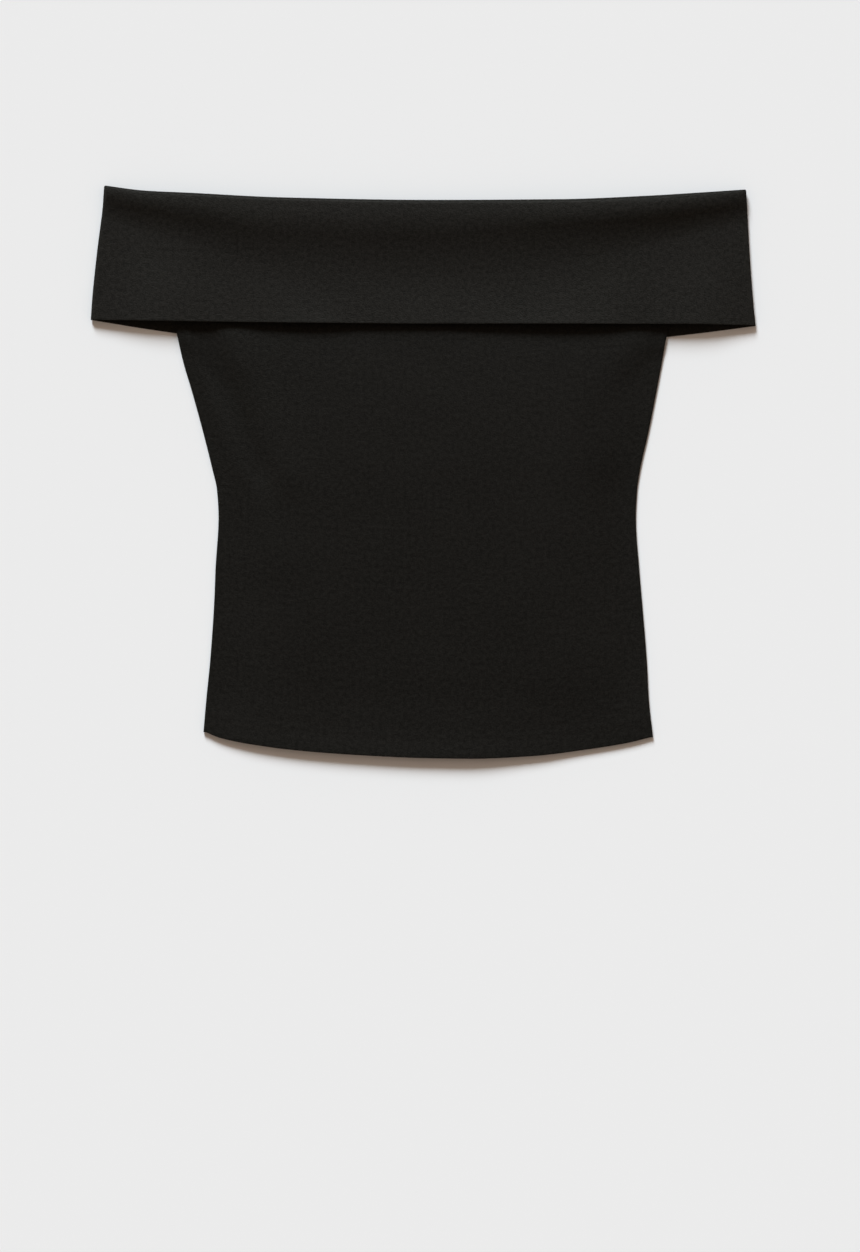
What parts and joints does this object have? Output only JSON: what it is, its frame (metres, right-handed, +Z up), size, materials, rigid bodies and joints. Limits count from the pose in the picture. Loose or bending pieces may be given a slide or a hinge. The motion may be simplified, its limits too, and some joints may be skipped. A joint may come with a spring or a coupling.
{
  "type": "off-the-shoulder top",
  "caption": "Plain off-the-shoulder top with a deep fold-over collar, a close waist and a turned-up hem, laid flat with its front up.",
  "frame": {"origin": "on the surface that the top lies on, under the middle of its whole outline", "axes": "+X across the top, to the right in the picture, +Y from hem to neck, +Z up from the surface through the layers"},
  "size_m": [0.5191, 0.4469, 0.0099],
  "materials": {
    "body_cloth": "matte black double-knit crepe",
    "collar_cloth": "matte black double-knit crepe, cut double"
  },
  "bodies": {
    "root": {"front_panel": "body_cloth", "back_panel": "body_cloth", "collar_front": "collar_cloth", "collar_back": "collar_cloth"}
  },
  "joints": []
}
